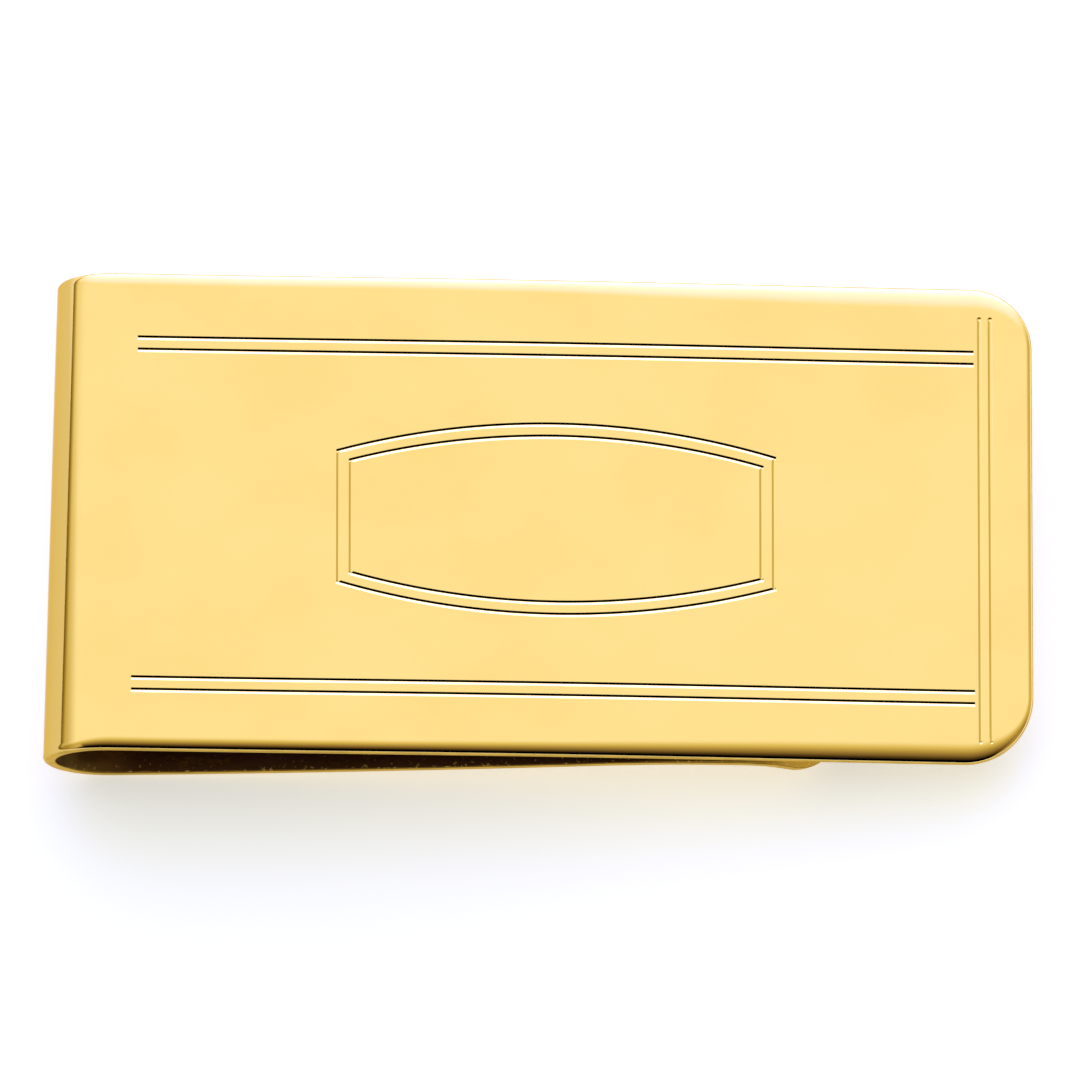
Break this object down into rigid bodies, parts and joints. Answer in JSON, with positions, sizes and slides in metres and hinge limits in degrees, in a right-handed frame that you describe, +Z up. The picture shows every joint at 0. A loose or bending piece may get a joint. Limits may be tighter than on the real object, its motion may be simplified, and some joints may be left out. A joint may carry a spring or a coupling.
{
  "type": "money clip",
  "caption": "Spring money clip folded from one gold-plated strip: engraved front plate with rounded free corners, U-shaped spine, and a bowed spring leaf ending in a flared lip.",
  "frame": {"origin": "bottom centre of the clip's box as it lies on its back on a table, on the spine and the edge of the lip", "axes": "+X along the length from the spine to the free end, +Y across the width, +Z up, out of the engraved face, which leans 4 degrees towards +X"},
  "size_m": [0.0508, 0.0254, 0.0062],
  "materials": {
    "polished_gold": "mirror-polished gold plate over brass, with fine hairlines",
    "spring_gold": "gold plate over brass, polished outside and left with rolling marks on the inside"
  },
  "bodies": {
    "leaf": {"spine_lower": "polished_gold", "spring_leaf": "spring_gold", "thumb_lip": "spring_gold"},
    "plate": {"front_plate": "polished_gold", "spine_upper": "polished_gold"}
  },
  "joints": [
    {"name": "leaf_flex", "type": "hinge", "parent": "leaf", "child": "plate", "pos_m": [-0.02544, 0, 0.00332], "axis": [0, -1, 0], "range_deg": [0, 8], "stiffness_Nm_per_rad": 2.3, "springref_deg": -2.01}
  ]
}
